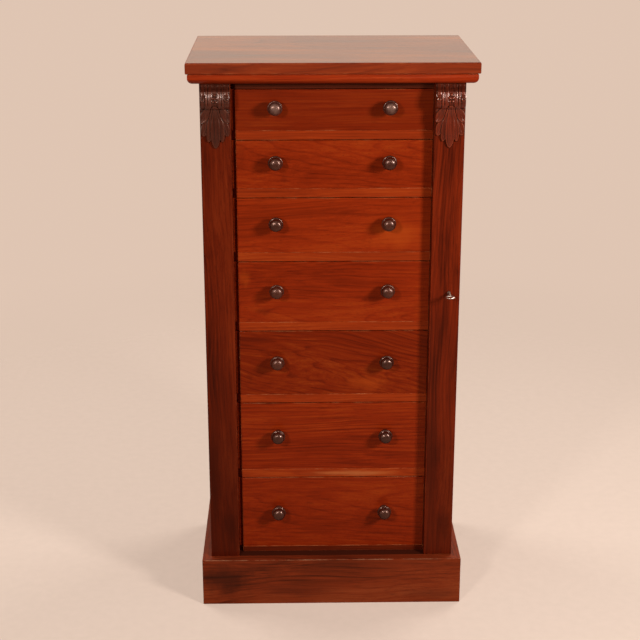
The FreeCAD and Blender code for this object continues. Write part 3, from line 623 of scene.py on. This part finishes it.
def carved_wood(name, dark, middle, light, gloss=0.40, coat=0.28):
    """Dark polished wood, darker in its hollows with old polish and painted shade, and paler where its ridges
    are rubbed.
    """
    finish = timber(name, dark, middle, light, grain="up", heart=(-0.12, 0.2), ring=0.005, figure=0.9,
                    rough=0.26, gloss=gloss, tint=(1.0, 0.58, 0.42), coat=coat, coat_rough=0.20)
    tree = finish.node_tree
    polish = tree.nodes["Principled BSDF"]
    under = polish.inputs["Base Color"].links[0].from_socket
    ridge = step(tree, "Attribute", {}, out="Fac", attribute_name="ridge")
    hollow = shades(tree, ridge, [(0.22, 1.0), (0.50, 0.0)])
    rubbed = shades(tree, ridge, [(0.56, 0.0), (0.85, 1.0)])
    # The hollows are darkened: partly old polish, partly painted shade
    colour = stain(tree, reckon(tree, "MULTIPLY", hollow, 0.75), under, (0.006, 0.003, 0.002))
    colour = stain(tree, reckon(tree, "MULTIPLY", rubbed, 0.45), colour, light)
    put(tree, polish.inputs["Base Color"], colour)
    return finish


# The second finish of each is the top close under the moulding, darker and duller as painted shadow from the
# moulding
neck_tall = 15.0 * mm
dull_shadowed_neck = dict(gloss=0.05, coat=0.0)
corbel_woods = {
    "corbel_left": (
        carved_wood("dark_corbel", (0.016, 0.0036, 0.0018), (0.050, 0.0080, 0.0034), (0.105, 0.020, 0.008)),
        carved_wood("dark_neck_painted_shadow", (0.014, 0.0030, 0.0018), (0.040, 0.0070, 0.0032), (0.07, 0.012, 0.005),
                    **dull_shadowed_neck)),
    # The right corbel's paler, redder tones are painted light, for the light its leaf catches
    "corbel_right": (
        carved_wood("red_corbel_painted_light", (0.034, 0.0048, 0.0018), (0.124, 0.0125, 0.0036), (0.215, 0.034, 0.009)),
        carved_wood("red_neck_painted_shadow", (0.018, 0.0034, 0.0018), (0.058, 0.0080, 0.0032), (0.10, 0.015, 0.005),
                    **dull_shadowed_neck)),
}
across_steps = round(2 * corbel_half / carving_step)
up_steps = round(corbel_tall / carving_step)


def carve_corbel(node, body):
    """Carves one corbel: a fine grid pushed out to the carving, trimmed, and closed against its board."""
    low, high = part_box(node)
    middle_x, seat_y = (low.x + high.x) / 2, high.y
    bpy.ops.object.select_all(action="DESELECT")
    bpy.ops.mesh.primitive_grid_add(x_subdivisions=across_steps, y_subdivisions=up_steps, size=1,
                                    location=(0, 0, 0))
    piece = bpy.context.object
    piece.name = piece.data.name = node + "_carving"
    tall = (high.z - low.z) / mm
    reach = {}
    for vert in piece.data.vertices:
        across, up = vert.co.x * 2 * corbel_half, (vert.co.y + 0.5) * tall
        column, row = round((vert.co.x + 0.5) * across_steps), round((vert.co.y + 0.5) * up_steps)
        reach[column, row] = carved_out(across, up)
        vert.co = (middle_x + across * mm, seat_y - reach[column, row] * mm, low.z + up * mm)
    ridge = piece.data.attributes.new("ridge", "FLOAT", "POINT")
    around = [(dx, dy) for dx in (-3, 0, 3) for dy in (-3, 0, 3) if dx or dy]
    for number, vert in enumerate(piece.data.vertices):
        column = round((vert.co.x - middle_x) / mm / (2 * corbel_half) * across_steps + across_steps / 2)
        row = round((vert.co.z - low.z) / mm / tall * up_steps)
        here = reach[column, row]
        near = [reach.get((column + dx, row + dy), here) for dx, dy in around]
        ridge.data[number].value = 0.5 + 0.45 * (here - sum(near) / len(near))
    bpy.ops.object.mode_set(mode="EDIT")
    bpy.ops.mesh.select_mode(type="FACE")
    bpy.ops.mesh.select_all(action="DESELECT")
    shape = bmesh.from_edit_mesh(piece.data)
    for face in shape.faces:
        face.select_set(all(vert.co.y > seat_y + 0.5 * mm for vert in face.verts))
    bmesh.update_edit_mesh(piece.data)
    bpy.ops.mesh.delete(type="FACE")
    bpy.ops.mesh.select_mode(type="EDGE")
    bpy.ops.mesh.select_all(action="DESELECT")
    bpy.ops.mesh.select_non_manifold()
    bpy.ops.mesh.extrude_region_move(TRANSFORM_OT_translate={"value": (0, 0, 0)})
    bpy.ops.transform.resize(value=(1, 0, 1), center_override=(middle_x, seat_y + 1.2 * mm, 0))
    bpy.ops.mesh.fill()
    bpy.ops.mesh.select_all(action="SELECT")
    bpy.ops.mesh.normals_make_consistent(inside=False)
    bpy.ops.object.mode_set(mode="OBJECT")
    bpy.ops.object.shade_smooth_by_angle(angle=radians(60))
    for finish in corbel_woods[node]:
        piece.data.materials.append(finish)
    for face in piece.data.polygons:
        face.material_index = 1 if face.center.z > high.z - neck_tall else 0
    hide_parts(node)
    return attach(piece, body)


carve_corbel("corbel_left", "case")
carve_corbel("corbel_right", "stile")

# Drawers: seven, deeper towards the floor. Each front is one figured mahogany board, cut from its own
# part of the log, and dovetailed to thin sides of pale cedar with the bottom in grooves.

plain_dark = (0.088, 0.0058, 0.0010)
plain_middle, plain_light = (0.190, 0.0135, 0.0016), (0.268, 0.030, 0.0030)
orange_middle, orange_light = (0.238, 0.0200, 0.0022), (0.330, 0.044, 0.0042)
lining_tones = dict(dark=(0.30, 0.140, 0.060), middle=(0.455, 0.262, 0.128), light=(0.56, 0.37, 0.20))
# For each front, the top one first: how deep the log's heart lies behind its face and how high over its
# middle, the lean of its grain, the gap between rings, wander, swirl, strength of figure, an orange share
# and depth of colour. The top front's low depth of colour is painted shade.
drawer_cuts = (
    ((0.035, -0.150), (0.5, 1.0), 0.0060, 6.0, 0.006, 1.05, 0.00, 0.76),
    ((0.055, 0.060), (-2.0, 6.0), 0.0095, 7.0, 0.014, 0.80, 0.25, 1.00),
    ((0.060, -0.050), (3.0, -3.0), 0.0120, 8.0, 0.012, 0.65, 0.45, 1.04),
    ((0.045, -0.030), (-1.0, 4.0), 0.0090, 13.0, 0.018, 0.90, 0.15, 1.02),
    ((0.050, 0.020), (-11.0, 5.0), 0.0085, 14.0, 0.034, 1.40, 0.10, 0.80),
    ((0.030, -0.100), (1.0, -2.0), 0.0085, 9.0, 0.010, 1.25, 0.05, 1.00),
    ((0.060, 0.050), (-2.0, 4.5), 0.0100, 8.0, 0.014, 0.90, 0.05, 1.00),
)
# Knots, stains and paler places of each front: across and up from its middle, half size each way, and
# share of darkness, below zero for paler
front_marks = {
    2: ((-0.093, -0.030, 0.010, 0.008, 0.5), (-0.175, 0.020, 0.014, 0.030, 0.35)),
    3: ((0.125, -0.020, 0.060, 0.040, -0.45), (0.020, 0.030, 0.060, 0.010, 0.25)),
    4: ((-0.135, -0.040, 0.024, 0.010, 0.55), (0.064, -0.016, 0.008, 0.006, 0.6),
        (-0.172, 0.028, 0.016, 0.024, -0.35)),
    5: ((-0.150, 0.050, 0.050, 0.012, 0.5), (-0.110, 0.022, 0.035, 0.006, 0.4),
        (0.070, -0.046, 0.055, 0.022, -0.4), (-0.165, -0.030, 0.010, 0.012, 0.45)),
    6: ((0.010, 0.040, 0.090, 0.004, 0.4), (-0.060, -0.015, 0.050, 0.004, 0.4)),
    7: ((-0.045, 0.020, 0.012, 0.005, 0.4), (0.100, -0.050, 0.060, 0.010, 0.2)),
}


def blended(plain, orange, share, depth):
    """The tone part of the way from plain to orange, as deep as asked."""
    return tuple(depth * (a + (b - a) * share) for a, b in zip(plain, orange))


for number, (heart, lean, ring, wander, swirl, figure, orange, depth) in enumerate(drawer_cuts, 1):
    body = f"drawer_{number}"
    low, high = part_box(body + "_front")
    middle_z = (low.z + high.z) / 2
    cut = dict(dark=plain_dark, middle=blended(plain_middle, orange_middle, orange, depth),
               light=blended(plain_light, orange_light, orange, depth),
               heart=(low.y + heart[0], middle_z + heart[1]), lean=lean, ring=ring,
               wander=wander, swirl=swirl, figure=figure, patchy=0.45)
    marks = [((x, low.y, middle_z + up), (half_wide, 0.02, half_tall),
              plain_dark if share > 0 else orange_light, abs(share))
             for x, up, half_wide, half_tall, share in front_marks.get(number, ())]
    boards = [marked(timber(body + "_mahogany", **cut), marks),
              timber(body + "_arris", worn=0.3 + 0.05 * number, **cut)]
    eased(body + "_front", body, boards, arris=0.6 * mm,
          rule=lambda end, y=low.y: end.y < y + hair)
    side_cedar = timber(body + "_sides_cedar", grain="back", heart=(0.26, middle_z - 0.03 * number),
                        ring=0.008, figure=0.6, rough=0.66, coat=0.0, **lining_tones)
    back_cedar = timber(body + "_cedar", heart=(0.02 * number, middle_z + 0.08), ring=0.009, figure=0.6,
                        rough=0.68, coat=0.0, **lining_tones)
    lay_finish(body + "_sides", side_cedar)
    for node in ("_back", "_bottom"):
        lay_finish(body + node, back_cedar)

# Knobs: two on each drawer, turned from dark wood with a foot, a hollow neck, a bead, a groove and a
# domed face, and polished in the lathe. Each is held by its dowel, glued through the front.

knob_low, knob_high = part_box("drawer_1_knobs")
knob_reach = knob_high.y - knob_low.y
knob_radius = (knob_high.z - knob_low.z) / 2
# Ways out as shares of the reach, radii as shares of the bead's radius: foot and neck, bead, groove
knob_turns = [
    (0.000, 0.58), (0.040, 0.59), (0.078, 0.56), (0.095, 0.50), (0.150, 0.468), (0.215, 0.455),
    (0.275, 0.480), (0.330, 0.550), (0.375, 0.670), (0.405, 0.785), (0.425, 0.850),
    (0.435, 0.900), (0.455, 0.958), (0.480, 0.990), (0.508, 1.000), (0.535, 0.996), (0.560, 0.980),
    (0.578, 0.954), (0.590, 0.922), (0.597, 0.886), (0.598, 0.850),
    (0.592, 0.815), (0.598, 0.790), (0.615, 0.785), (0.635, 0.805), (0.662, 0.838), (0.690, 0.858),
]
# The face is a dome that is flatter in the middle than a ball
dome_root, dome_size, dome_fullness, dome_rings = 0.720, 0.865, 2.5, 14
for ring in range(dome_rings):
    share = 1 - ring / dome_rings
    rise = (1 - share ** dome_fullness) ** (1 / dome_fullness)
    knob_turns.append((dome_root + (1 - dome_root) * rise, dome_size * share))
knob_turns.append((1.0, 0.01))
knob_cut = dict(grain="back", heart=(0.05, 0.4), ring=0.004, figure=0.8, rough=0.27, gloss=0.78,
                tint=(1.0, 0.54, 0.40), coat=0.16, coat_rough=0.28)
knob_wood = timber("knob_wood", (0.010, 0.0020, 0.0012), (0.026, 0.0044, 0.0020), (0.070, 0.014, 0.006),
                   **knob_cut)
# The knobs of the top drawer are paler and greyer, most on their faces: a painted reflection of the pale
# surround
knob_height = (knob_low.z + knob_high.z) / 2
painted_sheen_on_faces = [((x, knob_low.y, knob_height + 2 * mm), (13 * mm, 20 * mm, 12 * mm), (0.122, 0.063, 0.046), 0.80)
          for x in (knob_low.x + knob_radius, knob_high.x - knob_radius)]
sheen_painted_knob_wood = marked(timber("sheen_painted_knob_wood", (0.014, 0.004, 0.003), (0.034, 0.009, 0.006),
                               (0.078, 0.022, 0.014), **knob_cut), painted_sheen_on_faces)
knob_sizes = [(out * knob_reach, size * knob_radius) for out, size in knob_turns]
knob = turned("knob", knob_sizes, sides=48)
knob.data.materials.append(knob_wood)
dowel_sizes = ((0, 6.0 * mm), (0.9 * mm, 5.8 * mm), (1.2 * mm, 5.2 * mm))
dowel = turned("dowel_end", dowel_sizes, sides=24, turn=pi)
dowel.data.materials.append(knob_wood)
for number in range(1, len(drawer_cuts) + 1):
    body = f"drawer_{number}"
    low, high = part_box(body + "_knobs")
    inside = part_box(body + "_front")[1].y
    z = (low.z + high.z) / 2
    for side, x in (("left", low.x + knob_radius), ("right", high.x - knob_radius)):
        made = another(knob, f"knob_{number}_{side}", Vector((x, high.y, z)))
        made.data.materials[0] = sheen_painted_knob_wood if number == 1 else knob_wood
        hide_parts(body + "_knobs")
        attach(made, body)
        end = another(dowel, f"dowel_{number}_{side}", Vector((x, inside, z)))
        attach(end, body)
bpy.data.objects.remove(knob)
bpy.data.objects.remove(dowel)

# Hinge plates and lock: brass plates let into the stile's ends, the moulding and the bottom, and a
# sheet brass lock with a steel bolt in the stile's back, facing a steel staple on the post.

hinge_brass = metal("hinge_brass", (0.56, 0.40, 0.17), (0.20, 0.12, 0.05), 0.34)
lock_brass = metal("lock_brass", (0.52, 0.37, 0.16), (0.17, 0.10, 0.045), 0.36)
lock_steel = metal("lock_steel", (0.40, 0.39, 0.37), (0.11, 0.09, 0.075), 0.32)
for node in ("fixed_pivots", "moving_pivots"):
    lay_finish(node, hinge_brass)
lay_finish("lock_case", lock_brass)
for node in ("striker", "lock_bolt"):
    lay_finish(node, lock_steel)

# A countersunk screw head facing -Y, with its slot pressed in
screw_radius = 2.2 * mm
half_slot, slot_deep = screw_radius * 0.13, 0.45 * mm
screw_sizes = ((-0.2 * mm, screw_radius * 0.96), (0.15 * mm, screw_radius),
               (0.35 * mm, screw_radius * 0.86), (0.4 * mm, screw_radius * 0.7))
screw = turned("screw", screw_sizes, sides=24)
screw.data.materials.append(lock_steel)
pick(screw)
bpy.ops.object.mode_set(mode="EDIT")
for x in (-half_slot, half_slot):
    bpy.ops.mesh.select_all(action="SELECT")
    bpy.ops.mesh.bisect(plane_co=(x, 0, 0), plane_no=(1, 0, 0))
bpy.ops.mesh.select_mode(type="FACE")
bpy.ops.mesh.select_all(action="DESELECT")
shape = bmesh.from_edit_mesh(screw.data)
for face in shape.faces:
    middle = face.calc_center_median()
    face.select_set(face.normal.y < -0.9 and abs(middle.x) < half_slot)
bmesh.update_edit_mesh(screw.data)
bpy.ops.mesh.extrude_region_move(TRANSFORM_OT_translate={"value": (0, slot_deep, 0)})
bpy.ops.object.mode_set(mode="OBJECT")

case_low, case_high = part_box("lock_case")
pivot_low, pivot_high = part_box("moving_pivots")
stile_low, stile_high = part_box("locking_stile")
lock_inset, plate_inset, plate_pitch = 3.5 * mm, 5 * mm, 11 * mm
facing_back = Matrix.Rotation(pi, 4, "Z")
facing_up = Matrix.Rotation(-pi / 2, 4, "X")
facing_down = Matrix.Rotation(pi / 2, 4, "X")
lock_screws = []
for x in (case_low.x + lock_inset, case_high.x - lock_inset):
    for z in (case_low.z + lock_inset, case_high.z - lock_inset):
        lock_screws.append(another(screw, "lock_screw", Vector((x, case_high.y, z)), facing_back))
stile_screws, case_screws = [], []
pivot_middle = (pivot_low.y + pivot_high.y) / 2
for x in (pivot_low.x + plate_inset, pivot_low.x + plate_inset + plate_pitch):
    stile_screws.append(another(screw, "pivot_screw", Vector((x, pivot_middle, stile_high.z)), facing_up))
    stile_screws.append(another(screw, "pivot_screw", Vector((x, pivot_middle, stile_low.z)), facing_down))
    case_screws.append(another(screw, "pivot_screw", Vector((x, pivot_middle, moulding_low.z)), facing_down))
    case_screws.append(another(screw, "pivot_screw", Vector((x, pivot_middle, plinth_high.z)), facing_up))
for heads, name, body in ((lock_screws, "lock_screws", "stile"),
                          (stile_screws, "stile_pivot_screws", "stile"),
                          (case_screws, "case_pivot_screws", "case")):
    heads = in_one(heads, name)
    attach(heads, body)
bpy.data.objects.remove(screw)

# Key: steel, with an oval bow bent round from the shank, two small collars and a plain bit. It stays
# in the lock with its bow level, as when the bolt is drawn.

key_low, key_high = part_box("key")
key_steel = metal("key_steel", (0.52, 0.42, 0.35), (0.20, 0.15, 0.12), 0.28)
bow_radius, bow_wire, bow_flat_share = 9.5 * mm, 1.75 * mm, 0.82
key_over_bolt = 14 * mm
key_x = key_high.x - bow_radius
key_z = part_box("lock_bolt")[0].z + key_over_bolt
bow_y = key_low.y + bow_radius
bpy.ops.object.select_all(action="DESELECT")
bpy.ops.mesh.primitive_torus_add(major_radius=bow_radius - bow_wire, minor_radius=bow_wire,
                                 major_segments=56, minor_segments=16, location=(key_x, bow_y, key_z))
bow = bpy.context.object
bpy.ops.object.transform_apply()
bpy.ops.object.mode_set(mode="EDIT")
bpy.ops.mesh.select_all(action="SELECT")
bpy.ops.transform.resize(value=(1, 1, bow_flat_share), center_override=(key_x, bow_y, key_z))
bpy.ops.object.mode_set(mode="OBJECT")
# Ways out from the tip and radii in millimetres, with the two collars
shank_turns = (
    (0.0, 1.9), (0.4, 2.4), (21.0, 2.4), (21.4, 3.1), (22.2, 3.6), (23.2, 3.6), (24.0, 3.1), (24.5, 2.5),
    (25.2, 2.3), (33.0, 2.2), (34.0, 2.6), (34.8, 3.1), (35.8, 3.1), (36.6, 2.6), (37.4, 2.2), (42.0, 1.9),
    (43.0, 1.4),
)
tip_y = key_high.y
shank_sizes = [(out * mm, size * mm) for out, size in shank_turns]
shank = turned("key_shank", shank_sizes, sides=28, middle=(key_x, tip_y, key_z))
bit_reach, bit_thick, bit_long = 7.5 * mm, 2.5 * mm, 4.5 * mm
bpy.ops.object.select_all(action="DESELECT")
bpy.ops.mesh.primitive_cube_add(size=1, location=(key_x - bit_reach / 2, tip_y - bit_long / 2, key_z),
                                scale=(bit_reach, bit_long, bit_thick))
bit = bpy.context.object
bpy.ops.object.transform_apply()
bpy.ops.object.mode_set(mode="EDIT")
bpy.ops.mesh.select_all(action="SELECT")
bpy.ops.mesh.bevel(offset=0.3 * mm, segments=2, affect="EDGES")
bpy.ops.object.mode_set(mode="OBJECT")
key = in_one([shank, bow, bit], "door_key")
key.data.materials.append(key_steel)
bpy.ops.object.shade_smooth_by_angle(angle=radians(42))
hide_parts("key")
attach(key, "key")

# Stage: a plain pale floor that fades out at its rim, two soft studio lamps at the upper left and the
# upper right, two broad ones behind for the back, a dim even surround, and the photograph's camera.

pale = (0.74, 0.560, 0.450)
floor_radius, fade_from, fade_to = 6.0, 0.9, 2.4
floor_glow, surround_glow = 0.53, 0.035
bpy.ops.object.select_all(action="DESELECT")
bpy.ops.mesh.primitive_circle_add(vertices=96, radius=floor_radius, fill_type="NGON", location=(0, 0, 0))
floor = bpy.context.object
floor.name = "studio_floor"
floor_finish, tree, matt = unfinished("pale_floor")
matt.inputs["Roughness"].default_value = 0.9
matt.inputs["Specular IOR Level"].default_value = 0.1
floor_place = step(tree, "TexCoord", {}, out="Object")
mottle = speckle(tree, floor_place, (0.02, 0.02, 0.02), 3.0)
put(tree, matt.inputs["Base Color"], stain(tree, mottle, (0.33, 0.255, 0.205), (0.39, 0.30, 0.245)))
# Much of the floor's paleness is its own, seen by the camera alone, so that its shadows stay soft
looked_at = step(tree, "LightPath", {}, out="Is Camera Ray")
matt.inputs["Emission Color"].default_value = (*pale, 1)
put(tree, matt.inputs["Emission Strength"], reckon(tree, "MULTIPLY", looked_at, floor_glow))
away = step(tree, "VectorMath", {0: floor_place}, out="Value", operation="LENGTH")
fade = step(tree, "MapRange", {"Value": away, "From Min": fade_from, "From Max": fade_to},
            interpolation_type="SMOOTHSTEP")
share = reckon(tree, "MULTIPLY", fade, looked_at)
mixed = step(tree, "MixShader", {0: share, 1: matt.outputs[0], 2: step(tree, "BsdfTransparent", {})})
put(tree, tree.nodes["Material Output"].inputs["Surface"], mixed)
floor.data.materials.append(floor_finish)

world = bpy.data.worlds.new("studio")
bpy.context.scene.world = world
world.use_nodes = True
tree = world.node_tree
surround = tree.nodes["Background"]
surround.inputs["Color"].default_value = (1, 1, 1, 1)
surround.inputs["Strength"].default_value = surround_glow
backdrop = step(tree, "Background", {"Color": (*pale, 1)})
rays = tree.nodes.new("ShaderNodeLightPath")
seen = reckon(tree, "MAXIMUM", rays.outputs["Is Camera Ray"], rays.outputs["Is Glossy Ray"])
seen = reckon(tree, "MAXIMUM", seen, rays.outputs["Is Transmission Ray"])
mixed = step(tree, "MixShader", {0: seen, 1: surround.outputs[0], 2: backdrop})
put(tree, tree.nodes["World Output"].inputs["Surface"], mixed)


def studio_lamp(name, way, distance, size, power):
    """A square soft lamp, out along a way from the middle of the chest's front and facing it."""
    aim = Vector((0, -0.14, 0.62))
    way = Vector(way).normalized()
    bpy.ops.object.light_add(type="AREA", location=aim + way * distance)
    lamp = bpy.context.object
    lamp.name = name
    lamp.rotation_euler = way.to_track_quat("Z", "Y").to_euler()
    lamp.data.size = size
    lamp.data.energy = power


studio_lamp("lamp_right", (1.02, -1.0, 0.62), distance=2.2, size=0.40, power=48.0)
studio_lamp("lamp_left", (-0.50, -1.0, 0.48), distance=3.0, size=0.36, power=44.5)
studio_lamp("lamp_behind_right", (1.0, 0.9, 1.30), distance=3.0, size=1.3, power=52)
studio_lamp("lamp_behind_left", (-1.2, 0.9, 1.30), distance=3.0, size=1.3, power=52)

# The camera's place, turn and lens follow from the straight edges in the photo
bpy.ops.object.camera_add(location=(-0.07372, -2.82706, 1.52583),
                          rotation=(radians(71.27), 0, radians(-1.066)))
camera = bpy.context.object
camera.data.sensor_width = 36.0
camera.data.lens = 80.40
bpy.context.scene.camera = camera
bpy.context.scene.view_settings.view_transform = "Standard"
